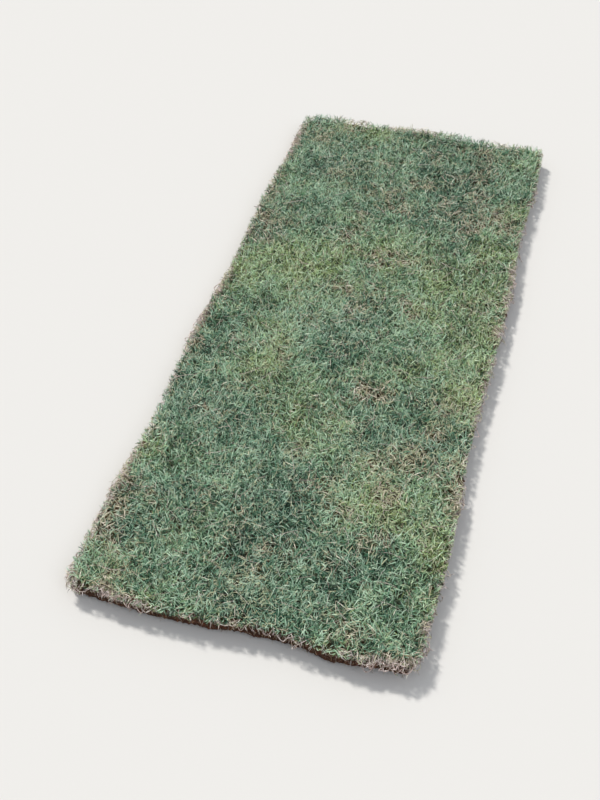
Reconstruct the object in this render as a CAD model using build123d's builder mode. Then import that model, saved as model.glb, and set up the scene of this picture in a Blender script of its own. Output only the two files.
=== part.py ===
from build123d import *
import os

# A strip of turf as it is laid: soil held together by roots, with mown grass growing from it.
# Millimetres, +Z up. The strip lies flat on its underside, its length along Y, its width along X.
# The origin is on the floor, under the middle of the strip. The near end is at -Y.

# The cut strip: two feet wide and five feet long.
strip_width = 610
strip_length = 1524
mat_thickness = 25  # soil held together by roots, as deep as the harvester's blade cut it
sward_height = 22  # grass leaves above the soil, as mown

# The cut edges. The soil crumbles back below, and the leaves hang out over it.
edge_crumble = 6
leaf_overhang = 8
leaf_droop = 9  # how far above the soil the leaves reach furthest out
leaf_crown = 6  # how far the tips stand back from there at the top

# The four corners are torn round.
corner_radius = 22

# Each side wanders off its straight line. Offsets are outward, evenly spaced from corner to corner.
left_wander = (1, -3, 2, 5, 0, -4, 1, 4, -2, -5, 0, 3, 1)
right_wander = (-1, 3, 5, 1, -4, -2, 2, 5, 2, -3, -1, 4, 0)
near_wander = (-2, 4, 7, 2, -5, 1, 6, -1)
far_wander = (1, -4, 2, 7, 3, -3, 5, -2)

# Both ends stay curled up a little from being rolled: how high, and over what length.
near_lift = 7
near_curl = 130
far_lift = 4
far_curl = 100

# The curled sheet is drawn past the outermost leaves, so that the outline trims it all round.
# A curl rises with the square of its run, so it rises on past the nominal end.
overrun = 2 * leaf_overhang + max(near_wander + far_wander)
near_rise = near_lift * (1 + overrun / near_curl) ** 2
far_rise = far_lift * (1 + overrun / far_curl) ** 2
most_rise = max(near_rise, far_rise)

mat_top = mat_thickness
sward_top = mat_thickness + sward_height


def wandering(start, end, outward, wander, margin):
    """Points from start to end, evenly spaced, each pushed outward by its offset and the margin."""
    gaps = len(wander) - 1
    return [
        start + (end - start) * (step / gaps) + outward * (offset + margin)
        for step, offset in enumerate(wander)
    ]


def strip_rim(margin):
    """The strip's outline seen from above, grown outward by margin."""
    half_width = strip_width / 2
    half_length = strip_length / 2
    straight_x = half_width - corner_radius
    straight_y = half_length - corner_radius
    right, left = Vector(1, 0, 0), Vector(-1, 0, 0)
    far, near = Vector(0, 1, 0), Vector(0, -1, 0)
    sides = (
        (Vector(-straight_x, -half_length), Vector(straight_x, -half_length), near, near_wander),
        (Vector(half_width, -straight_y), Vector(half_width, straight_y), right, right_wander),
        (Vector(straight_x, half_length), Vector(-straight_x, half_length), far, far_wander),
        (Vector(-half_width, straight_y), Vector(-half_width, -straight_y), left, left_wander),
    )
    courses = [wandering(start, end, outward, wander, margin) for start, end, outward, wander in sides]
    headings = (right, far, left, near)
    with BuildLine() as rim:
        for index, course in enumerate(courses):
            following = (index + 1) % len(courses)
            heading = headings[index]
            Spline(*course, tangents=(heading, heading))
            Spline(course[-1], courses[following][0], tangents=(heading, headings[following]))
    return rim.line


def curled_sheet(bottom, top):
    """The strip's long section between two heights: flat in the middle, curled up at both ends."""
    flat_near = -strip_length / 2 + near_curl
    flat_far = strip_length / 2 - far_curl
    near_tip = -strip_length / 2 - overrun
    far_tip = strip_length / 2 + overrun
    with BuildLine() as section:
        for height in (bottom, top):
            Line((flat_near, height), (flat_far, height))
            TangentArc((flat_near, height), (near_tip, height + near_rise), tangent=(-1, 0))
            TangentArc((flat_far, height), (far_tip, height + far_rise), tangent=(1, 0))
        Line((near_tip, bottom + near_rise), (near_tip, top + near_rise))
        Line((far_tip, bottom + far_rise), (far_tip, top + far_rise))
    return section.line


# Each layer is lofted between outlines, from below its underside to above its top, and cut down to
# the curled sheet. A level is a height, and how far the outline stands out there.

# Root mat: soil and roots in one sheet, undercut along its four cut edges.
mat_levels = (
    (-mat_thickness, -2 * edge_crumble),
    (2 * mat_thickness, edge_crumble),
)
with BuildPart() as root_mat:
    for level, margin in mat_levels:
        with BuildSketch(Plane.XY.offset(level)):
            add(strip_rim(margin))
            make_face()
    loft(ruled=True)
    with BuildSketch(Plane.YZ):
        add(curled_sheet(0, mat_top))
        make_face()
    extrude(amount=strip_width, both=True, mode=Mode.INTERSECT)

# Sward: the layer of leaves, out past the soil at its foot and drawn in again at its tips.
crown_run = sward_height - leaf_droop
sward_levels = (
    (mat_top - leaf_droop, -leaf_overhang),
    (mat_top + leaf_droop, leaf_overhang),
    (sward_top + most_rise, leaf_overhang - leaf_crown * (1 + most_rise / crown_run)),
)
with BuildPart() as sward:
    for level, margin in sward_levels:
        with BuildSketch(Plane.XY.offset(level)):
            add(strip_rim(margin))
            make_face()
    loft(ruled=True)
    with BuildSketch(Plane.YZ):
        add(curled_sheet(mat_top, sward_top))
        make_face()
    extrude(amount=strip_width, both=True, mode=Mode.INTERSECT)

root_mat.part.label = "root_mat"
sward.part.label = "grass_sward"

os.makedirs("parts", exist_ok=True)
export_step(root_mat.part, "parts/root_mat.step")
export_step(sward.part, "parts/grass_sward.step")
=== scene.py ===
import math

import bmesh
import bpy
import numpy as np
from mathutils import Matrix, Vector, noise
from mathutils.bvhtree import BVHTree
from mathutils.geometry import delaunay_2d_cdt


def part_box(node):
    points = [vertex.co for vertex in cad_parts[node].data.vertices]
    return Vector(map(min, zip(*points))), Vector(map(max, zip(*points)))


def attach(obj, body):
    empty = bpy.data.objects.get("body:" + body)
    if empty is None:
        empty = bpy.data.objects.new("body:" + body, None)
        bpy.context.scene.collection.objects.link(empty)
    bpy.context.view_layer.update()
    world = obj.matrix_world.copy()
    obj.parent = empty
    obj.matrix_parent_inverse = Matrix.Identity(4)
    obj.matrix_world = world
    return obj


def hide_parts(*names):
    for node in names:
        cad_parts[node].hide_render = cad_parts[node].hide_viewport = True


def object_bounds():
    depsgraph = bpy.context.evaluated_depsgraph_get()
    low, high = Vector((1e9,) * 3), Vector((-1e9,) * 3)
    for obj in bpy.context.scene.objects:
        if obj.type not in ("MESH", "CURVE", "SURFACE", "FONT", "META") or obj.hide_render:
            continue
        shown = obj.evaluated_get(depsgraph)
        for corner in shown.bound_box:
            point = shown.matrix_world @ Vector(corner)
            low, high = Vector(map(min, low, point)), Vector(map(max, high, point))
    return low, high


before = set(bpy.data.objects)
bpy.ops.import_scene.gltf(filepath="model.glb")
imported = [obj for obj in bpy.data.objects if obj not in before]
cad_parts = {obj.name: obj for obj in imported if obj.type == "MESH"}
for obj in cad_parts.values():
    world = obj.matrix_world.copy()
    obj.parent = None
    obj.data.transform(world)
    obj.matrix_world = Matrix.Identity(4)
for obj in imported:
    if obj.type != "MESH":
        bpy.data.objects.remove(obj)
cad_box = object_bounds()


# The root mat: a sheet of red clay loam held together by the roots of the grass. A blade slid under
# the lawn cut its flat underside, and its four sides were cut down through roots and soil, which
# crumbled back. It lies loose on the floor.
mm = 0.001
mat_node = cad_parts["root_mat"]
soil_layer = ("root_mat", "rooted_soil")
station_gap = 1.7 * mm
side_rows = 16
under_gap = 8 * mm
top_gap = 13 * mm
clear_of_rim = 6 * mm
line_steps = 400
well_clear = 1
level_enough = 0.9
same_place = 0.01 * mm


def middle_heights(node, way, along):
    """How high a CAD node's top (way 1) or underside (way -1) lies along the strip's middle line."""
    shape = BVHTree.FromObject(node, bpy.context.evaluated_depsgraph_get())
    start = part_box(node.name)[1].z + well_clear if way > 0 else -well_clear
    found = [shape.ray_cast(Vector((0, y, start)), Vector((0, 0, -way)))[0] for y in along]
    known = [y for y, point in zip(along, found) if point]
    return np.interp(along, known, [point.z for point in found if point])


def cut_rim(node, way, count=None):
    """The line where a CAD node's top or underside meets its cut sides: evenly spaced points that run
    anticlockwise from the middle of the near end, and the way out at each."""
    shape = bmesh.new()
    shape.from_mesh(node.data)
    bmesh.ops.remove_doubles(shape, verts=shape.verts, dist=same_place)
    beside = {}
    for edge in shape.edges:
        if sum(face.normal.z * way > level_enough for face in edge.link_faces) == 1:
            for vertex in edge.verts:
                beside.setdefault(vertex.index, []).append(edge.other_vert(vertex).index)
    places = {vertex.index: vertex.co.copy() for vertex in shape.verts}
    shape.free()
    here = min(beside, key=lambda index: abs(places[index].x) + (places[index].y > 0))
    before, ring = None, []
    while here is not None:
        ring.append(places[here])
        ahead = [index for index in beside[here] if index != before]
        before, here = here, next((i for i in ahead if places[i] is not ring[0]), None)
    ring = np.array(ring + ring[:1])
    if ring[1][0] < ring[0][0]:
        ring = ring[::-1]
    at = np.concatenate([[0], np.cumsum(np.linalg.norm(np.diff(ring, axis=0), axis=1))])
    count = count or round(at[-1] / station_gap)
    wanted = np.arange(count) / count * at[-1]
    even = np.stack([np.interp(wanted, at, axis) for axis in ring.T], 1)
    run = np.roll(even, -2, 0) - np.roll(even, 2, 0)
    out = np.stack([run[:, 1], -run[:, 0]], 1)
    return even, out / np.linalg.norm(out, axis=1)[:, None]


# The height of the mown leaves is measured here too, before any leaf takes the place of their solid.
line = np.linspace(cad_box[0].y, cad_box[1].y, line_steps)
mat_top_line = middle_heights(mat_node, 1, line)
mat_under_line = middle_heights(mat_node, -1, line)
sward_top_line = middle_heights(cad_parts["grass_sward"], 1, line)
rim, rim_out = cut_rim(mat_node, 1)
stations = len(rim)
foot, _ = cut_rim(mat_node, -1, stations)


def top_at(y):
    """The height of the soil's surface under the grass."""
    return np.interp(y, line, mat_top_line)


def under_at(y):
    """The height of the cut underside, which lifts at both ends."""
    return np.interp(y, line, mat_under_line)


def in_from_rim(places, mark_step=5, batch=5000):
    """How far in from the cut rim each place lies (negative outside it), and the way out there. Each
    is measured to the nearest mark on the rim, a batch of places at a time."""
    marks, outs = rim[::mark_step, :2], rim_out[::mark_step]
    nearest = np.empty(len(places), int)
    for start in range(0, len(places), batch):
        some = slice(start, start + batch)
        gaps = ((places[some, None] - marks[None]) ** 2).sum(2)
        nearest[some] = gaps.argmin(1)
    out = outs[nearest]
    return -((places - marks[nearest]) * out).sum(1), out


def strewn(count, chance, least=0.0):
    """Places strewn evenly over the mat, with how far in from the rim they lie and the way out."""
    low, high = rim[:, :2].min(0), rim[:, :2].max(0)
    pitch = math.sqrt(np.prod(high - low) / count)
    cells = [np.arange(math.ceil(side / pitch)) for side in high - low]
    places = np.stack(np.meshgrid(*cells), -1).reshape(-1, 2)
    places = low + (places + chance.random(places.shape)) * pitch
    depth, out = in_from_rim(places)
    keep = depth > least
    return places[keep], depth[keep], out[keep]


def rough(points, size, seed):
    """Uneven ground of about this grain size at each point, from -1 to 1."""
    away = Vector((seed * 7.3, seed * 3.1, seed * 1.7))
    return np.array([noise.noise(Vector(point) / size + away) for point in points])


def clods(points, size, seed):
    """Rounded lumps of about this size, from about 0 in the creases between them to 1 at a lump's
    middle."""
    away = Vector((seed * 5.7, seed * 2.9, seed * 4.3))
    return np.array([1 - noise.voronoi(Vector(point) / size + away)[0][0] for point in points])


def mesh_piece(name, points, corners, counts, sheet_places, material, layer):
    """A piece from its points, its faces' corners one after another, how many each face has, and
    where each corner lies on the sheet that the piece is coloured from."""
    mesh = bpy.data.meshes.new(name)
    mesh.vertices.add(len(points))
    mesh.vertices.foreach_set("co", np.asarray(points, np.float32).ravel())
    mesh.loops.add(len(corners))
    mesh.loops.foreach_set("vertex_index", np.asarray(corners, np.int32))
    mesh.polygons.add(len(counts))
    starts = np.concatenate([[0], np.cumsum(counts)[:-1]])
    mesh.polygons.foreach_set("loop_start", starts.astype(np.int32))
    mesh.polygons.foreach_set("use_smooth", np.ones(len(counts), bool))
    mesh.update(calc_edges=True)
    sheet = mesh.uv_layers.new(name="OFBake")
    sheet.uv.foreach_set("vector", np.asarray(sheet_places, np.float32).ravel())
    mesh.materials.append(material)
    piece = bpy.data.objects.new(name, mesh)
    bpy.context.scene.collection.objects.link(piece)
    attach(piece, "root")
    node, slot = layer
    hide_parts(node)
    return piece


def linear(code):
    """A colour written as sRGB hex, as the linear numbers that a shader takes."""
    parts = [int(code[at:at + 2], 16) / 255 for at in (1, 3, 5)]
    return [p / 12.92 if p <= 0.04045 else ((p + 0.055) / 1.055) ** 2.4 for p in parts] + [1]


def feed(node, feeds):
    """Gives a node's inputs their values, or links them to the nodes or sockets that feed them. Where
    names repeat, an input goes by its number: a colour mix has its share at 0 and its colours at 6 and
    7, and a map range its limits from 1 to 4."""
    for key, value in feeds.items():
        if isinstance(value, bpy.types.Node):
            value = next(socket for socket in value.outputs if socket.enabled)
        if isinstance(value, bpy.types.NodeSocket):
            node.id_data.links.new(value, node.inputs[key])
        else:
            node.inputs[key].default_value = value


def add_node(tree, kind, feeds=None, stops=None, **settings):
    """Adds a node with its settings, what feeds its inputs, and a ramp's colours with where they
    stand."""
    made = tree.nodes.new("ShaderNode" + kind)
    for name, value in settings.items():
        setattr(made, name, value)
    feed(made, feeds or {})
    if stops:
        ramp = made.color_ramp.elements
        for position, code in stops[2:]:
            ramp.new(position)
        for element, (position, code) in zip(ramp, sorted(stops)):
            element.position = position
            element.color = linear(code)
    return made


def new_material(name):
    """A material with nodes, its tree and its Principled shader."""
    material = bpy.data.materials.new(name)
    material.use_nodes = True
    return material, material.node_tree, material.node_tree.nodes["Principled BSDF"]


# Clay loam, cut damp: red-brown where the clay is bare, nearly black where it is rich in roots. It is
# granular and quite dull, with paler grains, and its clods dry paler than the creases between them; the
# creases are darker partly from damp and partly as painted shade. Just under the leaves it passes into
# thatch, which is dead stems and leaf bases felted into dark brown matting with straw-coloured threads,
# its browns deepened a little as painted shade in the gaps between the leaves.
rooted_loam, tree, shader = new_material("rooted_clay_loam")
where = add_node(tree, "TexCoord").outputs["Object"]
patches = add_node(tree, "TexNoise", {"Vector": where, "Scale": 1 / (38 * mm), "Detail": 5.0})
patch_dryness = add_node(tree, "MapRange", {"Value": patches, 1: 0.35, 2: 0.65, 3: -0.15, 4: 0.35})
# Painted shade: where the soil stands least proud, in the creases, it takes the darker earth.
read_proud = add_node(tree, "Attribute", attribute_name="proud").outputs["Fac"]
dry_clods_and_crease_shade = add_node(tree, "Math", {0: read_proud, 1: patch_dryness}, operation="ADD", use_clamp=True)
lumps = add_node(
    tree, "TexNoise", {"Vector": where, "Scale": 1 / (6 * mm), "Detail": 6.0, "Roughness": 0.7},
)
earth = add_node(
    tree, "ValToRGB", {"Fac": lumps},
    stops=((0.30, "#2E1D16"), (0.46, "#4B2C1F"), (0.58, "#6B3E2B"), (0.74, "#8A5A41")),
)
shaded_crease_earth = add_node(
    tree, "ValToRGB", {"Fac": lumps}, stops=((0.30, "#1F1712"), (0.50, "#382519"), (0.72, "#5C4130")),
)
mixed_earth = add_node(tree, "Mix", {0: dry_clods_and_crease_shade, 6: shaded_crease_earth, 7: earth}, data_type="RGBA")
grains = add_node(tree, "TexVoronoi", {"Vector": where, "Scale": 1 / (2.2 * mm)})
pale_grain = add_node(tree, "MapRange", {"Value": grains, 1: 0.16, 2: 0.08})
grain_colour = add_node(
    tree, "Mix", {0: pale_grain, 6: mixed_earth, 7: linear("#A98A68")}, data_type="RGBA",
)
felt = add_node(
    tree, "TexNoise", {"Vector": where, "Scale": 1 / (4 * mm), "Detail": 6.0, "Distortion": 2.5},
)
# Thatch browns, partly its own colour and partly deepened as painted shade where it shows between the
# leaves.
thatch_colour_with_gap_shade = add_node(
    tree, "ValToRGB", {"Fac": felt},
    stops=((0.28, "#2A2218"), (0.46, "#463A28"), (0.60, "#665A40"), (0.78, "#94865F")),
)
read_way_up = add_node(tree, "Attribute", attribute_name="way_up").outputs["Fac"]
tongues = add_node(
    tree, "TexNoise", {"Vector": where, "Scale": 1 / (9 * mm), "Detail": 5.0, "Roughness": 0.65},
)
tongue_reach = add_node(tree, "MapRange", {"Value": tongues, 1: 0.3, 2: 0.7, 3: -0.22, 4: 0.22})
ragged_up = add_node(tree, "Math", {0: read_way_up, 1: tongue_reach}, operation="ADD")
felted = add_node(tree, "MapRange", {"Value": ragged_up, 1: 0.8, 2: 0.96})
surface_colour = add_node(tree, "Mix", {0: felted, 6: grain_colour, 7: thatch_colour_with_gap_shade}, data_type="RGBA")
dullness = add_node(tree, "MapRange", {"Value": lumps, 3: 0.78, 4: 0.98})
lump_relief = add_node(tree, "Bump", {"Height": lumps, "Strength": 1.0, "Distance": 3.0 * mm})
grit = add_node(
    tree, "TexNoise", {"Vector": where, "Scale": 1 / (1.6 * mm), "Detail": 4.0, "Roughness": 0.7},
)
grit_relief = add_node(
    tree, "Bump", {"Height": grit, "Strength": 1.0, "Distance": 1.0 * mm, "Normal": lump_relief},
)
grain_relief = add_node(
    tree, "Bump", {"Height": grains, "Strength": 0.8, "Distance": 0.8 * mm, "Normal": grit_relief},
)
feed(shader, {
    "Base Color": surface_colour, "Roughness": dullness, "Normal": grain_relief,
    "Specular IOR Level": 0.25,
})

# The side between foot and rim is pushed in and out by clods and by longer swells, each given as its
# size and height in millimetres and its seed. It flares at its foot, is rounded off over its last
# rows at the rim, and touches the floor nowhere along its edge.
clod_kinds = ((12, 4.4, 2), (6, 3.2, 3), (3.5, 1.6, 12))
swells = ((70, 4.0, 10), (30, 4.0, 1))
clod_middle = 0.55
foot_flare = 4.5 * mm
least_lift = 0.2 * mm
rim_rounding = np.array([[0.3], [1.0], [2.6]]) * mm
rim_drop = 0.4 * mm
rim_unevenness = 2.0 * mm
share = np.linspace(0, 1, side_rows)[:, None, None]
side_points = foot[None] * (1 - share) + rim[None] * share
flat_side = side_points.reshape(-1, 3)
clod_relief = sum(
    height * (clods(flat_side, size * mm, seed) - clod_middle) for size, height, seed in clod_kinds
)
clod_relief += 0.8 * rough(flat_side, 2.6 * mm, 9)
crumble = sum((height * rough(flat_side, size * mm, seed) for size, height, seed in swells), clod_relief)
crumble = (crumble * mm).reshape(side_rows, -1) + foot_flare * (1 - share[:, :, 0])
crumble[-len(rim_rounding):] -= rim_rounding
side_points[:, :, :2] += crumble[:, :, None] * rim_out[None]
foot_lift = (1.3 + 1.6 * rough(side_points[0], 14 * mm, 4)) * mm
side_points[0, :, 2] += foot_lift.clip(least_lift)
side_points[-2, :, 2] -= rim_drop
side_points[-1, :, 2] += rim_unevenness * rough(side_points[-1], 9 * mm, 5)


def filled(ring, gap, seed):
    """Triangles that fill a ring of points, seen from above, with loose points inside it."""
    chance = np.random.default_rng(seed)
    inside, depth, _ = strewn(np.prod(np.ptp(rim[:, :2], axis=0)) / gap**2, chance)
    inset = np.linalg.norm(rim[:, :2] - ring[:, :2], axis=1).mean()
    inside = inside[depth > inset + clear_of_rim]
    count = len(ring)
    places = [Vector(p) for p in np.concatenate([ring[:, :2], inside])]
    edges = [(i, (i + 1) % count) for i in range(count)]
    only_inside, merge_gap = 1, 1e-7
    found = delaunay_2d_cdt(places, edges, [], only_inside, merge_gap)
    if len(found[0]) != len(places):
        raise RuntimeError("the ring crosses itself")
    return inside, np.array(found[2])


under, under_faces = filled(side_points[0], under_gap, 11)
under_points = np.column_stack([under, under_at(under[:, 1])])
under_relief = 0.7 + 0.7 * rough(under_points, 16 * mm, 6) + 0.5 * rough(under_points, 50 * mm, 7)
under_points[:, 2] += under_relief.clip(0) * mm
cover, cover_faces = filled(side_points[-1], top_gap, 12)
cover_points = np.column_stack([cover, top_at(cover[:, 1])])
cover_points[:, 2] += 1.2 * mm * rough(cover_points, 25 * mm, 8)
mat_points = np.concatenate([side_points.reshape(-1, 3), under_points, cover_points])

row, station = np.divmod(np.arange((side_rows - 1) * stations), stations)
ahead = (station + 1) % stations
side_faces = np.stack([
    row * stations + station, row * stations + ahead,
    (row + 1) * stations + ahead, (row + 1) * stations + station,
], 1)
after_side = side_rows * stations
after_under = after_side + len(under_points)
under_faces = np.where(under_faces < stations, under_faces, under_faces + after_side - stations)
under_faces = under_faces[:, ::-1]
cover_faces = np.where(
    cover_faces < stations, cover_faces + after_side - stations, cover_faces + after_under - stations,
)

# The sheet that the mat is coloured from, one unit each way. It holds the underside as cut, the sides
# in three long columns, and the top at half scale, because the leaves hide it.
face_corners = ((0, 0), (1, 0), (1, 1), (0, 1))
sheet_edge, sheet_run = 0.01, 0.98
side_columns = 3
side_left, side_pitch, side_width = 0.44, 0.1, 0.08
cover_left = 0.76
sheet_scale = sheet_run / (cad_box[1].y - cad_box[0].y)
per_column = stations / side_columns
column = station // per_column
column_left = side_left + side_pitch * column
side_sheet = np.stack([
    np.stack([column_left + side_width * (row + up) / (side_rows - 1),
              sheet_edge + sheet_run * (station + on - column * per_column) / (per_column + 1)], 1)
    for on, up in face_corners
], 1)
low_corner = np.array([cad_box[0].x, cad_box[0].y])
under_sheet = sheet_edge + (mat_points[under_faces][:, :, :2] - low_corner) * sheet_scale
cover_sheet = (mat_points[cover_faces][:, :, :2] - low_corner) * sheet_scale / 2
cover_sheet += (cover_left, sheet_edge)
mat_sheet = np.concatenate([part.reshape(-1, 2) for part in (side_sheet, under_sheet, cover_sheet)])
mat_corners = np.concatenate([side_faces.ravel(), under_faces.ravel(), cover_faces.ravel()])
mat_counts = np.repeat([4, 3], [len(side_faces), len(under_faces) + len(cover_faces)])
root_mat = mesh_piece(
    "root_mat_soil", mat_points, mat_corners, mat_counts, mat_sheet, rooted_loam, soil_layer,
)

# What the soil's colour goes by: how far up its side a point lies, from 0 at the foot to 1 at the rim
# and past that on the top, and how far it stands proud of the creases, from 0 to 1, which darkens the
# creases partly as damp soil and partly as painted shade.
top_way_up, top_proud = 1.3, 0.5
way_up = np.concatenate([
    np.repeat(share.ravel(), stations), np.zeros(len(under_points)),
    np.full(len(cover_points), top_way_up),
])
proud = np.concatenate([
    (0.45 + clod_relief / 6).clip(0, 1), 0.2 + 0.3 * under_relief.clip(0),
    np.full(len(cover_points), top_proud),
])
for name, values in (("way_up", way_up), ("proud", proud)):
    kept = root_mat.data.attributes.new(name, "FLOAT", "POINT")
    kept.data.foreach_set("value", values)


# Crumbs: knots of soil, a few millimetres across, that have come loose from the cut sides and still
# hang there on root hairs. Each is a rounded lump, wider in its middle.
# Painted light: each tone has its lanes of painted light and shade, from darkest to lightest.
sheet_tones = 6
sheet_lights = 8
sheet_lanes = sheet_tones * sheet_lights
sheet_rows = 8
sheet_margin = 0.12
just_under_one = 0.999


def strand_scale(strand_length, size):
    """The noise scale that gives a pattern its real size along strands of about this length, each of
    which fills one cell of the sheet."""
    return strand_length * sheet_rows / (1 - 2 * sheet_margin) / size


def tubes(paths, radii, sides, crosswise):
    """Round strands: rings of points about each path's points, from foot to tip. Crosswise is a
    direction for each strand, or one for all, that no path runs along."""
    run = np.gradient(paths, axis=1)
    run /= np.linalg.norm(run, axis=2, keepdims=True).clip(1e-9)
    first = np.cross(run, crosswise[:, None])
    first /= np.linalg.norm(first, axis=2, keepdims=True).clip(1e-9)
    second = np.cross(run, first)
    turn = np.arange(sides) / sides * 2 * math.pi
    ring = first[:, :, None] * np.cos(turn)[:, None] + second[:, :, None] * np.sin(turn)[:, None]
    return paths[:, :, None] + ring * radii[:, :, None, None]


def strand_piece(name, strands, looks, material, layer, closed=False):
    """A piece made of many strands, each an array of rows across its width, or round it if closed.
    Every strand is coloured from one cell of the sheet by its looks: its tone and its painted light and
    shade give the cell's lane, and how dry it is the cell's row."""
    many, rows, across = strands.shape[:3]
    sides = across if closed else across - 1
    first = np.arange(many)[:, None, None] * rows * across
    row = np.arange(rows - 1)[None, :, None] * across
    side = np.arange(sides)[None, None, :]
    beside = (side + 1) % across
    corners = np.stack([
        first + row + side, first + row + beside,
        first + row + across + beside, first + row + across + side,
    ], 3).ravel()
    counts = np.full(many * (rows - 1) * sides, 4)
    divisions = (sheet_tones, sheet_lights, sheet_rows)
    tone, light, band = (
        np.floor(look.clip(0, just_under_one) * count)[:, None, None]
        for look, count in zip(looks, divisions)
    )
    lane = tone * sheet_lights + light
    room = 1 - 2 * sheet_margin
    sheet = []
    for on, up in face_corners:
        u = (lane + sheet_margin + room * (side + on) / sides) / sheet_lanes
        v = (band + sheet_margin + room * (row / across + up) / (rows - 1)) / sheet_rows
        sheet.append(np.stack(np.broadcast_arrays(u, v), 3).reshape(-1, 2))
    sheet = np.stack(sheet, 1).reshape(-1, 2)
    if closed:
        ring = np.arange(across)[None, :]
        start = np.arange(many)[:, None] * rows * across
        foot_caps, tip_caps = start + ring[:, ::-1], start + (rows - 1) * across + ring
        corners = np.concatenate([corners, foot_caps.ravel(), tip_caps.ravel()])
        counts = np.concatenate([counts, np.full(2 * many, across)])
        turn = ring / across * 2 * math.pi
        cap_wide, cap_high = 0.3, 0.03
        for end in (sheet_margin, 1 - sheet_margin):
            u = (lane[:, 0] + 0.5 + cap_wide * np.cos(turn)) / sheet_lanes
            v = (band[:, 0] + end + cap_high * np.sin(turn)) / sheet_rows
            sheet = np.concatenate([sheet, np.stack([u, v], 2).reshape(-1, 2)])
    return mesh_piece(name, strands.reshape(-1, 3), corners, counts, sheet, material, layer)


def read_sheet(tree):
    """What a shaded point's place on the sheet says: its strand's tone, its painted light and shade, how
    dry it is, and how far across and along the strand the point lies, each from 0 to 1."""
    place = add_node(tree, "UVMap", uv_map="OFBake")
    axes = add_node(tree, "SeparateXYZ", {0: place})

    def cell(axis, cells):
        scaled = add_node(tree, "Math", {0: axes.outputs[axis], 1: float(cells)}, operation="MULTIPLY")
        whole = add_node(tree, "Math", {0: scaled}, operation="FLOOR")
        part = add_node(tree, "Math", {0: scaled}, operation="FRACT")
        return whole, part

    tone_cell, _ = cell("X", sheet_tones)
    lane, across = cell("X", sheet_lanes)
    light_cell = add_node(tree, "Math", {0: lane, 1: float(sheet_lights)}, operation="MODULO")
    row, along = cell("Y", sheet_rows)
    strand = {"place": place}
    for name, value, low, high in (
        ("tone", tone_cell, 0.0, sheet_tones - 1.0),
        ("light", light_cell, 0.0, sheet_lights - 1.0),
        ("dryness", row, 0.0, sheet_rows - 1.0),
        ("across", across, sheet_margin, 1 - sheet_margin),
        ("along", along, sheet_margin, 1 - sheet_margin),
    ):
        strand[name] = add_node(tree, "MapRange", {"Value": value, 1: low, 2: high})
    return strand


def shaded(tree, colour, shade):
    """A colour made darker or lighter by a shade, which is 1 where the colour stays as it is."""
    grey = add_node(tree, "CombineColor", {axis: shade for axis in range(3)})
    return add_node(tree, "Mix", {0: 1.0, 6: colour, 7: grey}, data_type="RGBA", blend_type="MULTIPLY")


# Crumbled clay loam, a little drier and paler than the soil behind it, speckled with fine grains.
crumbled_loam, tree, shader = new_material("crumbled_clay_loam")
strand = read_sheet(tree)
crumb_colour = add_node(
    tree, "ValToRGB", {"Fac": strand["tone"]},
    stops=((0.0, "#241812"), (0.4, "#3F281C"), (0.75, "#5C3827"), (1.0, "#7A5139")),
)
grain = add_node(
    tree, "TexNoise",
    {"Vector": strand["place"], "Scale": strand_scale(2 * mm, 0.08 * mm), "Detail": 4.0,
     "Roughness": 0.7},
)
grain_shade = add_node(tree, "MapRange", {"Value": grain, 1: 0.3, 2: 0.7, 3: 0.6, 4: 1.35})
speckled = shaded(tree, crumb_colour, grain_shade)
feed(shader, {"Base Color": speckled, "Roughness": 0.93, "Specular IOR Level": 0.25})

chance = np.random.default_rng(13)
many = 1600
least_radius, radius_range = 0.6, 1.9
crumb_reach = np.array([-0.85, 0.0, 0.85])
crumb_girth = np.array([0.55, 1.0, 0.5])
above_floor = 0.05 * mm
spot = chance.integers(0, stations, many)
level = chance.integers(0, side_rows - 1, many)
radius = (least_radius + radius_range * chance.random(many) ** 2.5) * mm
middle = side_points[level, spot].copy()
middle[:, :2] += rim_out[spot] * (chance.uniform(-0.5, 0.35, many) * radius)[:, None]
middle[:, 2] = middle[:, 2].clip(radius * 1.15)
axis = chance.normal(0, 1, (many, 3))
axis /= np.linalg.norm(axis, axis=1)[:, None]
girth = crumb_girth * chance.uniform(0.7, 1.25, (many, 3))
paths = middle[:, None] + axis[:, None] * (crumb_reach[None, :, None] * radius[:, None, None])
slant = np.cross(axis, chance.normal(0, 1, (many, 3)))
crumbs = tubes(paths, girth * radius[:, None], 4, slant)
knobs = chance.uniform(0.65, 1.35, crumbs.shape[:3])[..., None]
crumbs = paths[:, :, None] + (crumbs - paths[:, :, None]) * knobs
crumbs[..., 2] = crumbs[..., 2].clip(above_floor)
strand_piece("soil_crumbs", crumbs, chance.random((3, many)), crumbled_loam, soil_layer, closed=True)


# Cut roots: fine pale roots that the blade cut through. They hang out of the four sides, and on the
# underside they lie pressed into the soil.
upright = np.array([[0.0, 0.0, 1.0]])
root_start = -1.2 * mm


def lengths(chance, least, most, many):
    """A length for each of many strands, between two limits given in millimetres."""
    return chance.uniform(least, most, many)[:, None] * mm


def waves(chance, step, turns, many):
    """A wave along each of many strands, from -1 to 1, that starts anywhere."""
    return np.sin(step * turns + chance.uniform(0, 6, many)[:, None])


def rim_ways(spot):
    """The way out of the mat and the way along its rim at each of these stations."""
    level = np.zeros(spot.shape)
    out_x, out_y = rim_out[spot, 0], rim_out[spot, 1]
    return np.stack([out_x, out_y, level], -1), np.stack([-out_y, out_x, level], -1)


def wholly_inside(flat, least):
    """Which strands, seen from above, lie at least this far inside the rim all along."""
    return in_from_rim(flat.reshape(-1, 2))[0].reshape(flat.shape[:2]).min(1) > least


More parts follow.
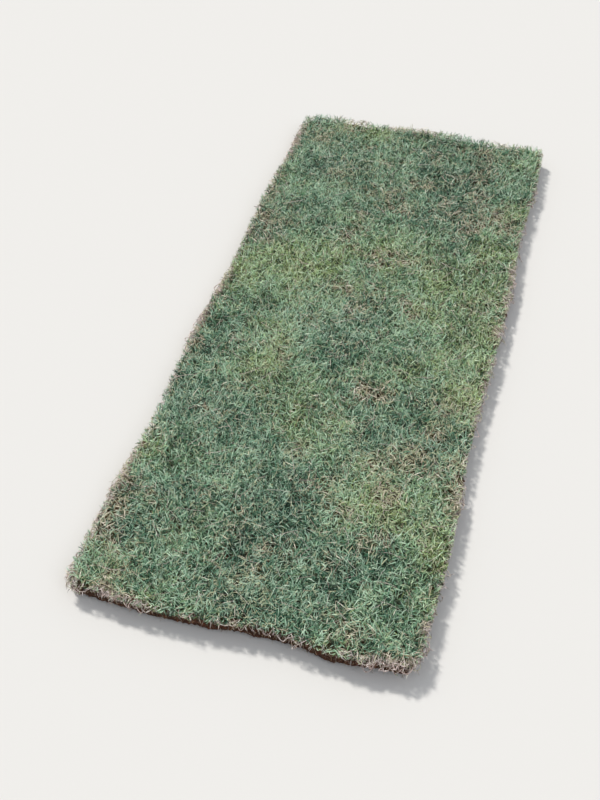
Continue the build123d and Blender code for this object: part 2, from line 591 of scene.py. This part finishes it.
# Root fibre is matt and cream to tan, with brown stains where the red soil has clung to it.
root_fibre, tree, shader = new_material("grass_root_fibre")
strand = read_sheet(tree)
root_colour = add_node(
    tree, "ValToRGB", {"Fac": strand["tone"]},
    stops=((0.0, "#8C6A4C"), (0.35, "#B79A74"), (0.7, "#D3BF9C"), (1.0, "#E4D8C0")),
)
stain = add_node(
    tree, "TexNoise",
    {"Vector": strand["place"], "Scale": strand_scale(8 * mm, 0.7 * mm), "Detail": 3.0},
)
stained = add_node(tree, "MapRange", {"Value": stain, 1: 0.45, 2: 0.7, 3: 0.0, 4: 0.7})
soiled_root = add_node(
    tree, "Mix", {0: stained, 6: root_colour, 7: linear("#6B4431")}, data_type="RGBA",
)
feed(shader, {"Base Color": soiled_root, "Roughness": 0.7})

many, rows = 1700, 5
spot = chance.integers(0, stations, many)
level = chance.integers(1, side_rows - 1, many)
step = np.linspace(0, 1, rows)[None]
reach = lengths(chance, 1.0, 5.0, many)
fall = lengths(chance, -3, 13, many)
sway = chance.normal(0, 5, many)[:, None] * mm
curl = lengths(chance, 0, 2.2, many) * waves(chance, step, 5, many)
outward, beside = rim_ways(spot)
out_run = root_start + (reach - root_start) * np.sin(step * 1.7)
paths = side_points[level, spot][:, None] + outward[:, None] * out_run[..., None]
paths = paths + beside[:, None] * (sway * step + curl)[..., None]
paths[..., 2] -= fall * step**1.6
thick = (0.14 + 0.26 * chance.random((many, 1)) ** 2) * mm * (1 - 0.6 * step)
paths[..., 2] = paths[..., 2].clip(thick + above_floor)
side_roots = tubes(paths, thick, 3, beside)

places = strewn(900, chance, least=14 * mm)[0]
many, rows = len(places), 6
step = np.linspace(0, 1, rows)[None]
heading = chance.uniform(0, 2 * math.pi, many)[:, None] + chance.normal(0, 0.9, (many, 1)) * step
run = lengths(chance, 15, 55, many) / (rows - 1)
walk = np.stack([np.cos(heading), np.sin(heading)], 2) * run[..., None]
flat = places[:, None] + np.cumsum(walk, 1) - walk[:, :1]
thick = lengths(chance, 0.18, 0.4, many) * (1 - 0.5 * step)
paths = np.concatenate([flat, (under_at(flat[..., 1]) + 0.5 * mm)[..., None]], 2)
inside = wholly_inside(flat, 9 * mm)
under_roots = tubes(paths[inside], thick[inside], 3, upright)
for name, roots in (("side_roots", side_roots), ("underside_roots", under_roots)):
    strand_piece(name, roots, chance.random((3, len(roots))), root_fibre, soil_layer, closed=True)


# Dead leaves: the brown and straw-coloured leaves of last season, still on their stems, lying flat
# between the living ones. They are thickest in worn patches and along the cut rim.
grass_layer = ("grass_sward", "grass")
overhang_limit = 6.5 * mm
near_rim_depth = 32 * mm
leaf_above_floor = 0.3 * mm
veins_drawn = 5


def drift(places, size, seed, dots_across=64, start=20):
    """Patches of about this size over the strip, from 0 to 1 with soft borders."""
    dots = np.random.default_rng(seed).random((dots_across, dots_across))
    at = places / size + start
    cell = np.floor(at).astype(int)
    part = at - cell
    part = part * part * (3 - 2 * part)
    x, y = cell.T % dots_across
    beyond_x, beyond_y = (x + 1) % dots_across, (y + 1) % dots_across
    near = dots[x, y] * (1 - part[:, 0]) + dots[beyond_x, y] * part[:, 0]
    far = dots[x, beyond_y] * (1 - part[:, 0]) + dots[beyond_x, beyond_y] * part[:, 0]
    return near * (1 - part[:, 1]) + far * part[:, 1]


def frayed(places):
    """How frayed the rim is near each place, from 0 to 1, in tufts and in longer stretches."""
    tufts = 0.55 * drift(places, 130 * mm, 403) + 0.45 * drift(places, 34 * mm, 402)
    return ((tufts - 0.5) / 0.16).clip(0, 1)


def bare_share(places, depth):
    """How bare of living leaves the mat is, from 0 to 1: in worn patches a few centimetres across,
    and in a narrow band where the rim is frayed."""
    patchy = 0.65 * drift(places, 60 * mm, 201) + 0.35 * drift(places, 22 * mm, 202)
    worn = 0.75 * ((patchy - 0.57) / 0.28).clip(0, 1)
    return np.maximum(worn, frayed(places) * np.exp(-((depth / (13 * mm)) ** 4)))


def bent_leaves(base, heading, rise, droop, length, width, roll, taper):
    """Leaves as rows of a left and a right point, from foot to tip. Each starts at its rise above
    level and bends over in an arc by its droop. Taper is its width at each row."""
    step = np.linspace(0, 1, len(taper))[None]
    bend = -droop[:, None]
    tilt = rise[:, None] + bend * step
    over = length[:, None] * (np.sin(tilt) - np.sin(rise)[:, None]) / bend
    up = length[:, None] * (np.cos(rise)[:, None] - np.cos(tilt)) / bend
    ahead_x, ahead_y = np.cos(heading)[:, None], np.sin(heading)[:, None]
    spine = np.stack([ahead_x * over, ahead_y * over, up], 2) + base[:, None]
    level = np.stack([-ahead_y, ahead_x, 0 * ahead_x], 2)
    crown = np.stack([-ahead_x * np.sin(tilt), -ahead_y * np.sin(tilt), np.cos(tilt)], 2)
    turn = roll[:, None, None]
    sideways = np.cos(turn) * level + np.sin(turn) * crown
    half = (width[:, None] * np.array(taper) / 2)[:, :, None]
    return np.stack([spine + sideways * half, spine - sideways * half], 2)


def hang_over(leaves, depth, droop):
    """Leaves whose foot is near the rim stick out past it by less than 9 mm, and there they droop,
    each by its own share of how far out it is."""
    near = depth < near_rim_depth
    some = leaves[near]
    inside, out = in_from_rim(some[..., :2].reshape(-1, 2))
    beyond = (-inside).clip(0)
    uneven = 0.55 + 0.75 * drift(some[..., :2].reshape(-1, 2), 30 * mm, 401)
    limit = overhang_limit * uneven
    kept = limit * (1 - np.exp(-beyond / limit))
    back = (out * (kept - beyond)[:, None]).reshape(some[..., :2].shape)
    lowered = kept.reshape(some.shape[:-1]) * droop[near][:, None, None]
    some[..., :2] += back
    some[..., 2] = np.maximum(some[..., 2] - lowered, leaf_above_floor)
    leaves[near] = some
    return leaves


def leaf_material(name, tones, highlight_code, foot_shade_code, tip_code, roughness):
    """A grass leaf. It is ribbed lengthwise by its veins, drawn five across where a real leaf has a
    dozen, so that they show, and its mottle is a little coarser than real too. Its midrib is paler,
    partly its own colour and partly a painted highlight along the keel. Each leaf is also darkened or
    lightened as a whole by painted light and shade, and the lightest are paled toward a whitish colour
    that is partly wax and partly painted highlight. It is darker at its foot, partly where old sheaths
    wrap it and partly as painted shade low between the leaves, and straw-coloured at its mown tip,
    further down the drier it is."""
    material, tree, shader = new_material(name)
    strand = read_sheet(tree)
    blade = add_node(tree, "ValToRGB", {"Fac": strand["tone"]}, stops=tones)
    mottle = add_node(
        tree, "TexNoise",
        {"Vector": strand["place"], "Scale": strand_scale(20 * mm, 1.9 * mm), "Detail": 3.0,
         "Roughness": 0.6},
    )
    mottled = add_node(tree, "MapRange", {"Value": mottle, 1: 0.3, 2: 0.7, 3: 0.85, 4: 1.12})
    from_middle = add_node(tree, "MapRange", {"Value": strand["across"], 3: -1.0, 4: 1.0})
    off_midrib = add_node(tree, "Math", {0: from_middle}, operation="ABSOLUTE")
    # Paler along the midrib: partly its own colour, partly a painted highlight along the keel.
    midrib = add_node(tree, "MapRange", {"Value": off_midrib, 2: 0.3, 3: 1.12, 4: 0.97})
    wave = veins_drawn * 2 * math.pi
    veins = add_node(tree, "Math", {0: strand["across"], 1: wave}, operation="MULTIPLY")
    ribs = add_node(tree, "Math", {0: veins}, operation="SINE")
    rib_shade = add_node(tree, "MapRange", {"Value": ribs, 1: -1.0, 3: 0.93, 4: 1.05})
    # Painted light and shade: each leaf is darkened or lightened as a whole, and the lightest are paled
    # toward a whitish painted highlight.
    painted_leaf_shade = add_node(tree, "MapRange", {"Value": strand["light"], 2: 0.66, 3: 0.15, 4: 1.24})
    shade = mottled
    for part in (midrib, rib_shade, painted_leaf_shade):
        shade = add_node(tree, "Math", {0: shade, 1: part}, operation="MULTIPLY")
    painted_highlight_share = add_node(tree, "MapRange", {"Value": strand["light"], 1: 0.5, 2: 1.0, 3: 0.0, 4: 0.7})
    waxed_and_highlit = add_node(tree, "Mix", {0: painted_highlight_share, 6: blade, 7: linear(highlight_code)}, data_type="RGBA")
    ribbed = shaded(tree, waxed_and_highlit, shade)
    # Painted shade at the foot: the foot colour is darker partly for old sheaths and partly for the
    # shade low between the leaves.
    foot_shade_share = add_node(tree, "MapRange", {"Value": strand["along"], 2: 0.3, 3: 0.8, 4: 0.0})
    sheathed_and_shaded_foot = add_node(tree, "Mix", {0: foot_shade_share, 6: ribbed, 7: linear(foot_shade_code)}, data_type="RGBA")
    green_reach = add_node(tree, "MapRange", {"Value": strand["dryness"], 1: 0.35, 3: 1.2, 4: 0.25})
    past_green = add_node(tree, "Math", {0: strand["along"], 1: green_reach}, operation="SUBTRACT")
    ragged = add_node(tree, "MapRange", {"Value": mottle, 3: -0.12, 4: 0.12})
    dry_edge = add_node(tree, "Math", {0: past_green, 1: ragged}, operation="ADD")
    dry_part = add_node(tree, "MapRange", {"Value": dry_edge, 1: -0.04, 2: 0.14})
    dried = add_node(tree, "Mix", {0: dry_part, 6: sheathed_and_shaded_foot, 7: linear(tip_code)}, data_type="RGBA")
    dullness = add_node(tree, "MapRange", {"Value": dry_part, 3: roughness, 4: 0.8})
    rib_relief = add_node(tree, "Bump", {"Height": ribs, "Strength": 0.25, "Distance": 0.05 * mm})
    feed(shader, {"Base Color": dried, "Roughness": dullness, "Normal": rib_relief, "IOR": 1.42})
    return material


# Dead grass has no green left. Its waxy skin has weathered off, so it is dull.
dead_grass = leaf_material(
    "dead_grass_leaf",
    ((0.0, "#8A8064"), (0.25, "#B0A884"), (0.5, "#CEC6A6"), (0.75, "#C6B8A4"), (1.0, "#DAD4BE")),
    "#ECE6D8", "#8A7E62", "#CCC2AA", 0.75,
)

chance = np.random.default_rng(21)
places, depth, _ = strewn(52000, chance, least=1 * mm)
worn = (bare_share(places, depth) + 0.3 * np.exp(-depth / (9 * mm))).clip(0, 1)
share_kept = 0.06 + 0.8 * worn
keep = chance.random(len(places)) < share_kept
places, depth, worn = places[keep], depth[keep], worn[keep]
many = len(places)
height = chance.uniform(1, 13, many) + 4 * worn
base = np.column_stack([places, top_at(places[:, 1]) + height * mm])
dead_leaves = bent_leaves(
    base, chance.uniform(0, 2 * math.pi, many),
    rise=chance.uniform(0.0, 0.6, many), droop=chance.uniform(0.2, 1.0, many),
    length=chance.uniform(9, 24, many) * mm, width=chance.uniform(0.8, 1.6, many) * mm,
    roll=chance.normal(0, 0.5, many), taper=(0.8, 1.0, 0.35),
)
dead_leaves = hang_over(dead_leaves, depth, chance.uniform(0, 1.1, many))
strand_piece("dead_leaves", dead_leaves, chance.random((3, many)), dead_grass, grass_layer)


# The living leaves grow from shoots that stand about 7 mm apart all over the mat. Old leaves lie low
# on each shoot, grown ones arch out of it, mown ones stick out straight, and young ones stand in its
# middle. The mower cut them all off about level, at the height of the CAD sward.
leaves_each = 2
foot_spread = 1.6 * mm
chance = np.random.default_rng(31)
shoots, shoot_depth, shoot_out = strewn(18500, chance, least=1.5 * mm)
keep = chance.random(len(shoots)) > 0.85 * bare_share(shoots, shoot_depth)
shoots, shoot_depth, shoot_out = shoots[keep], shoot_depth[keep], shoot_out[keep]
shoot_count = len(shoots)
# Painted light and shade over the sward: patches of it, and each shoot's own, that darken or lighten its
# leaves.
painted_light_patches = ((0.45, 16), (0.3, 40), (0.25, 110))
pull = np.stack([drift(shoots, 55 * mm, seed) - 0.5 for seed in (101, 102)], 1)
shoot_lean = np.arctan2(*pull.T) + chance.normal(0, 0.6, shoot_count)
shoot_vigour = 0.5 * drift(shoots, 38 * mm, 103) + 0.5 * chance.random(shoot_count)
shoot_tone = 0.65 * drift(shoots, 150 * mm, 301) + 0.35 * drift(shoots, 40 * mm, 302)
shoot_painted_light = sum(part * drift(shoots, size * mm, 300 + size) for part, size in painted_light_patches)
shoot_painted_light += chance.normal(0, 0.17, shoot_count)
shoot_dryness = 0.55 * bare_share(shoots, shoot_depth) + 0.2 * np.exp(-shoot_depth / (10 * mm))
parched = 0.6 * drift(shoots, 120 * mm, 303) + 0.4 * drift(shoots, 45 * mm, 304)
shoot_dryness += 0.32 * ((parched - 0.48) / 0.25).clip(0, 1)


def living_leaves(
    name, seed, material, length, width, rise, droop, tones, lights, taper, bruised=0.0,
):
    """The leaves of one age on all shoots, as a near and a far piece. Each range is given as its least
    and most, lengths and widths in millimetres and angles in radians, and bruised is how much further
    than the rest their mown tips have dried."""
    chance = np.random.default_rng(seed)
    shoot = np.repeat(np.arange(shoot_count), leaves_each)
    many = len(shoot)
    base = shoots[shoot] + chance.normal(0, foot_spread, (many, 2))
    base = np.column_stack([base, top_at(base[:, 1]) + chance.uniform(0, 6, many) * mm])
    opposite = math.pi * (np.arange(many) % 2)
    heading = shoot_lean[shoot] + opposite + chance.normal(0, 0.9, many)
    # Close to the rim the leaves turn outward.
    near_rim = np.exp(-shoot_depth[shoot] / (5 * mm))[:, None]
    toward = np.column_stack([np.cos(heading), np.sin(heading)])
    toward = toward * (1 - near_rim) + 1.3 * shoot_out[shoot] * near_rim
    heading = np.arctan2(toward[:, 1], toward[:, 0])
    vigour = shoot_vigour[shoot]
    leaves = bent_leaves(
        base, heading,
        rise=chance.uniform(*rise, many), droop=chance.uniform(*droop, many),
        length=chance.uniform(*length, many) * mm * (0.8 + 0.4 * vigour),
        width=chance.uniform(*width, many) * mm, roll=chance.normal(0, 0.55, many), taper=taper,
    )
    # The mower left no leaf much above its cut, so a taller one is lowered to about there.
    ceiling = np.interp(base[:, 1], line, sward_top_line) - base[:, 2]
    ceiling = ceiling * chance.uniform(0.7, 1.03, many) * (0.8 + 0.25 * vigour)
    above = leaves[..., 2] - base[:, 2][:, None, None]
    tallest = above.max((1, 2))
    leaves[..., 2] -= above * (1 - np.minimum(1, ceiling / tallest))[:, None, None]
    leaves = hang_over(leaves, shoot_depth[shoot], chance.uniform(-0.2, 1.0, many))
    # A leaf's second look is its painted light and shade.
    looks = np.stack([
        tones[0] + (tones[1] - tones[0]) * shoot_tone[shoot] + chance.normal(0, 0.12, many),
        lights[0] + (lights[1] - lights[0]) * shoot_painted_light[shoot] + chance.normal(0, 0.32, many),
        shoot_dryness[shoot] + chance.random(many) ** 5 + bruised,
    ])
    for end, rooted in (("near", base[:, 1] < 0), ("far", base[:, 1] >= 0)):
        strand_piece(f"{name}_{end}", leaves[rooted], looks[:, rooted], material, grass_layer)


# Old leaves: low, broad and flat, going over from dull green to a yellowish olive.
old_grass = leaf_material(
    "old_grass_leaf",
    ((0.0, "#486E53"), (0.35, "#5F8660"), (0.7, "#809E69"), (1.0, "#A5AF78")),
    "#C3D2B2", "#39453A", "#B8B690", 0.5,
)
living_leaves(
    "old_leaves", 32, old_grass, length=(10, 20), width=(1.3, 2.3),
    rise=(0.2, 0.9), droop=(0.3, 1.2), tones=(0.0, 1.0), lights=(0.0, 0.7), taper=(0.8, 1.0, 0.4),
)

# Grown leaves: they arch over, and a bloom of wax makes them blue-green.
grown_grass = leaf_material(
    "grown_grass_leaf",
    ((0.0, "#366E55"), (0.3, "#528C6E"), (0.55, "#72A484"), (0.8, "#8FB788"), (1.0, "#A9C27A")),
    "#D6EAD3", "#3E5547", "#CCCFAB", 0.33,
)
living_leaves(
    "grown_leaves", 33, grown_grass, length=(14, 26), width=(1.05, 1.9),
    rise=(0.7, 1.35), droop=(0.5, 1.6), tones=(-0.1, 1.1), lights=(0.0, 1.0),
    taper=(0.7, 1.0, 0.85, 0.3),
)

# Mown leaves: as old as the grown ones, but straighter, and cut off square by the mower.
living_leaves(
    "mown_leaves", 35, grown_grass, length=(12, 22), width=(1.0, 1.8),
    rise=(0.3, 1.25), droop=(0.08, 0.55), tones=(-0.1, 1.1), lights=(0.1, 1.2),
    taper=(0.75, 1.0, 0.75), bruised=0.12,
)

# Young leaves: upright, narrow and pale, the newest of each shoot.
young_grass = leaf_material(
    "young_grass_leaf",
    ((0.0, "#66A083"), (0.4, "#83B592"), (0.7, "#9EC696"), (1.0, "#B6CE88")),
    "#DCEFD6", "#587660", "#D2D3B0", 0.33,
)
living_leaves(
    "young_leaves", 34, young_grass, length=(14, 23), width=(0.8, 1.4),
    rise=(0.7, 1.5), droop=(0.1, 0.8), tones=(-0.1, 1.1), lights=(0.15, 1.2), taper=(0.8, 1.0, 0.3),
)


# The frayed rim: dead leaves and sheaths that the blade cut loose. They hang over the soil's cut
# sides in pale curls, in clumps with gaps between.
curl_taper = np.array([0.8, 1.0, 1.0, 0.9, 0.7, 0.3])
curl_tries = 8200

# Bleached grass has lost its green to the sun and is nearly white, with a pink cast from soil dust.
bleached_grass = leaf_material(
    "bleached_grass_leaf",
    ((0.0, "#A3928C"), (0.3, "#CFBEBA"), (0.6, "#E6D8D4"), (0.85, "#D3CBB0"), (1.0, "#B6C49E")),
    "#F6EEEA", "#A08A7C", "#E4D8CE", 0.65,
)
chance = np.random.default_rng(41)
spot = chance.integers(0, stations, curl_tries)
fray = frayed(rim[spot, :2])
share_kept = 0.16 + 0.6 * fray
keep = chance.random(len(spot)) < share_kept
spot, fray = spot[keep], fray[keep, None]
many = len(spot)
step = np.linspace(0, 1, len(curl_taper))[None]
start = -lengths(chance, 1, 8, many) * (1 + fray)
reach = lengths(chance, 0.5, 7, many)
out_run = start + (reach - start) * np.sin(step * chance.uniform(1.2, 2.2, many)[:, None])
sway = chance.normal(0, 6, many)[:, None] * mm * step
curl = 1.5 * mm * waves(chance, step, 5, many)
outward, beside = rim_ways(spot)
spine = rim[spot][:, None] + outward[:, None] * out_run[..., None]
spine = spine + beside[:, None] * (sway + curl)[..., None]
first_height = lengths(chance, 0.5, 11, many) * (1 + 0.3 * fray)
fall = lengths(chance, 0, 15, many)
spine[..., 2] += first_height + 1.5 * mm * np.sin(step * 3) - fall * step**1.8
spine[..., 2] = spine[..., 2].clip(1 * mm)
run = np.gradient(spine, axis=1)
sideways = np.cross(run, chance.normal(0, 1, (many, 1, 3)) + upright)
sideways /= np.linalg.norm(sideways, axis=2, keepdims=True)
half = (lengths(chance, 0.25, 0.6, many) * curl_taper)[..., None]
curls = np.stack([spine + sideways * half, spine - sideways * half], 2)
strand_piece("rim_curls", curls, chance.random((3, many)), bleached_grass, grass_layer)


# Runners: creeping stems, round and pinkish tan, with a joint every 7 to 15 mm where leaves and roots
# grow. The blade cut them loose, so that they loop out past the rim and droop.
joints_per_runner = 4
rows_per_joint = 4
joint_swelling = 0.35
runner_above_floor = 0.1 * mm

# A runner's skin is smooth, with a faint gloss, and pale, but brown at its joints.
runner_stem, tree, shader = new_material("creeping_runner_stem")
strand = read_sheet(tree)
stem_colour = add_node(
    tree, "ValToRGB", {"Fac": strand["tone"]},
    stops=((0.0, "#BBA49A"), (0.35, "#DCC8C2"), (0.75, "#F0E4DE"), (1.0, "#CDD0AC")),
)
joint_wave = add_node(
    tree, "Math", {0: strand["along"], 1: joints_per_runner * 2 * math.pi}, operation="MULTIPLY",
)
joint_near = add_node(tree, "Math", {0: joint_wave}, operation="COSINE")
joint_part = add_node(tree, "MapRange", {"Value": joint_near, 1: 0.7, 2: 1.0, 3: 0.0, 4: 0.75})
jointed = add_node(tree, "Mix", {0: joint_part, 6: stem_colour, 7: linear("#7A5A45")}, data_type="RGBA")
# Painted light and shade: each stem is darkened or lightened as a whole.
light_shade = add_node(tree, "MapRange", {"Value": strand["light"], 3: 0.75, 4: 1.15})
feed(shader, {"Base Color": shaded(tree, jointed, light_shade), "Roughness": 0.5})

many, rows = 320, rows_per_joint * joints_per_runner + 1
step = np.linspace(0, 1, rows)[None]
spot = chance.integers(0, stations, 20 * many)
spot = spot[chance.random(len(spot)) < 0.12 + 0.88 * frayed(rim[spot, :2])][:many, None]
stretch = lengths(chance, 10, 42, many) / station_gap
passed = np.floor((spot + stretch * step) % stations).astype(int) % stations
out_run = -7 * mm + lengths(chance, 6, 19, many) * np.sin(step * math.pi)
out_run = out_run + 1.2 * mm * waves(chance, step, 9, many)
paths = rim[passed] + rim_ways(passed)[0] * out_run[..., None]
lift = lengths(chance, 0, 9, many) + 1.5 * mm * np.sin(step * 6 + spot)
paths[..., 2] += lift - (out_run.clip(0) * chance.uniform(0.2, 1.6, many)[:, None])
# Each path is smoothed, and then kinked at its joints.
ease = np.array([0.25, 0.5, 0.25])
for axis in range(3):
    inner = sum(weight * paths[:, at:rows - 2 + at, axis] for at, weight in enumerate(ease))
    paths[:, 1:-1, axis] = inner
joint_at = np.linspace(0, 1, joints_per_runner + 1)
kinks = chance.normal(0, 1.8, (many, joints_per_runner + 1, 3)) * (1, 1, 0.7) * mm
for runner in range(many):
    for axis in range(3):
        paths[runner, :, axis] += np.interp(step[0], joint_at, kinks[runner, :, axis])
at_joint = np.cos(step * joints_per_runner * 2 * math.pi) > 0.9
thick = lengths(chance, 0.4, 0.8, many) * (1 + joint_swelling * at_joint)
paths[..., 2] = paths[..., 2].clip(thick + runner_above_floor)
runners = tubes(paths, thick, 5, upright)
strand_piece("runners", runners, chance.random((3, many)), runner_stem, grass_layer, closed=True)

# At each joint between a runner's ends two short dead leaves stand out and two short roots grow down.
joint = np.repeat(paths[:, rows_per_joint:-1:rows_per_joint].reshape(-1, 3), 2, 0)
many = len(joint)
joint_leaves = bent_leaves(
    joint, chance.uniform(0, 2 * math.pi, many), rise=chance.uniform(-0.4, 1.1, many),
    droop=chance.uniform(0.3, 1.6, many), length=chance.uniform(4, 11, many) * mm,
    width=chance.uniform(0.7, 1.4, many) * mm, roll=chance.normal(0, 0.6, many), taper=(1.0, 0.9, 0.25),
)
joint_leaves[..., 2] = joint_leaves[..., 2].clip(leaf_above_floor)
strand_piece("joint_leaves", joint_leaves, chance.random((3, many)), bleached_grass, grass_layer)
rows = 4
step = np.linspace(0, 1, rows)[None]
paths = np.tile(joint[:, None], (1, rows, 1))
paths += chance.normal(0, 2.2, (many, 1, 3)) * mm * step[..., None]
paths[..., :2] += chance.normal(0, 0.5, (many, rows, 2)) * mm * step[..., None]
paths[..., 2] -= lengths(chance, 2, 9, many) * step
thick = lengths(chance, 0.16, 0.3, many) * (1 - 0.5 * step)
paths[..., 2] = paths[..., 2].clip(thick + runner_above_floor)
crosswise = chance.normal(0, 1, (many, 3)) * (1, 1, 0)
joint_roots = tubes(paths, thick, 3, crosswise)
strand_piece("joint_roots", joint_roots, chance.random((3, many)), root_fibre, grass_layer, closed=True)


# Dry stalks: dead stems that the mower cut off and left. They are pale and nearly straight, and lie
# every way on top of the leaves, some of them half sunk between them.
chance = np.random.default_rng(51)
places = strewn(640, chance, least=12 * mm)[0]
many, rows = len(places), 5
step = np.linspace(-0.5, 0.5, rows)[None]
length = (18 + 38 * chance.random((many, 1)) ** 2) * mm
heading = chance.uniform(0, 2 * math.pi, (many, 1)) + chance.normal(0, 0.5, (many, 1)) * step
walk = np.stack([np.cos(heading), np.sin(heading)], 2) * (length / (rows - 1))[..., None]
flat = places[:, None] + np.cumsum(walk, 1) - walk.sum(1, keepdims=True) / 2
sunk = lengths(chance, 1.0, 7, many)
tilt = chance.normal(0, 0.1, (many, 1))
height = np.interp(flat[..., 1], line, sward_top_line) - sunk + tilt * length * step
paths = np.concatenate([flat, height[..., None]], 2)
inside = wholly_inside(flat, 2 * mm)
thick = lengths(chance, 0.28, 0.5, many) * (1 - 0.25 * (step + 0.5))
stalks = tubes(paths[inside], thick[inside], 3, upright)
many = len(stalks)
# Their second look, painted light, is kept toward the light end.
looks = (chance.random(many), chance.uniform(0.4, 1.0, many), chance.random(many))
strand_piece("dry_stalks", stalks, looks, runner_stem, grass_layer, closed=True)


# The studio floor is plain, pale and matt. A broad sun and a bright sky light the strip as on a hazy
# day, and to the camera the sky is as pale as the floor.
floor_side = 40
floor_material, tree, shader = new_material("matt_white_floor")
feed(shader, {"Base Color": linear("#E4E3E0"), "Roughness": 1.0, "Specular IOR Level": 0.0})
bpy.ops.mesh.primitive_plane_add(size=floor_side, location=(0, 0, 0))
floor = bpy.context.object
floor.name = "studio_floor"
floor.data.materials.append(floor_material)

world = bpy.data.worlds.new("studio_air")
bpy.context.scene.world = world
world.use_nodes = True
tree = world.node_tree
sky = tree.nodes["Background"]
feed(sky, {"Color": linear("#F2F5FA"), "Strength": 0.45})
backdrop = add_node(tree, "Background", {"Color": linear("#F1F0EC"), "Strength": 1.0})
ray = add_node(tree, "LightPath").outputs
seen = add_node(tree, "Math", {0: ray["Is Camera Ray"], 1: ray["Is Glossy Ray"]}, operation="MAXIMUM")
air = add_node(tree, "MixShader", {0: seen, 1: sky, 2: backdrop})
feed(tree.nodes["World Output"], {"Surface": air})

centre = (cad_box[0] + cad_box[1]) / 2
lamps = (
    ("key_lamp", (-1.6, 1.3, 2.2), 7, 2.65, "#FFFBF5"),
    ("fill_lamp", (1.8, -1.4, 2.4), 40, 0.55, "#F2F6FF"),
)
for name, place, softness, power, code in lamps:
    lamp = bpy.data.lights.new(name, "SUN")
    lamp.angle = math.radians(softness)
    lamp.energy = power
    lamp.color = linear(code)[:3]
    stand = bpy.data.objects.new(name, lamp)
    stand.location = centre + Vector(place)
    stand.rotation_euler = (-Vector(place)).to_track_quat("-Z", "Y").to_euler()
    bpy.context.scene.collection.objects.link(stand)

# The camera looks down at the strip as in the photograph, from eye height before its near end and a
# little to the right of it.
azimuth, elevation = math.radians(16), math.radians(46)
distance = 2.2
aim = Vector((-0.042, -0.231, centre.z))
camera = bpy.data.cameras.new("camera")
camera.lens = 50
back = Vector((
    math.sin(azimuth) * math.cos(elevation), -math.cos(azimuth) * math.cos(elevation),
    math.sin(elevation),
))
viewer = bpy.data.objects.new("camera", camera)
viewer.location = aim + back * distance
viewer.rotation_euler = (-back).to_track_quat("-Z", "Y").to_euler()
bpy.context.scene.collection.objects.link(viewer)
bpy.context.scene.camera = viewer
bpy.context.scene.view_settings.view_transform = "Standard"
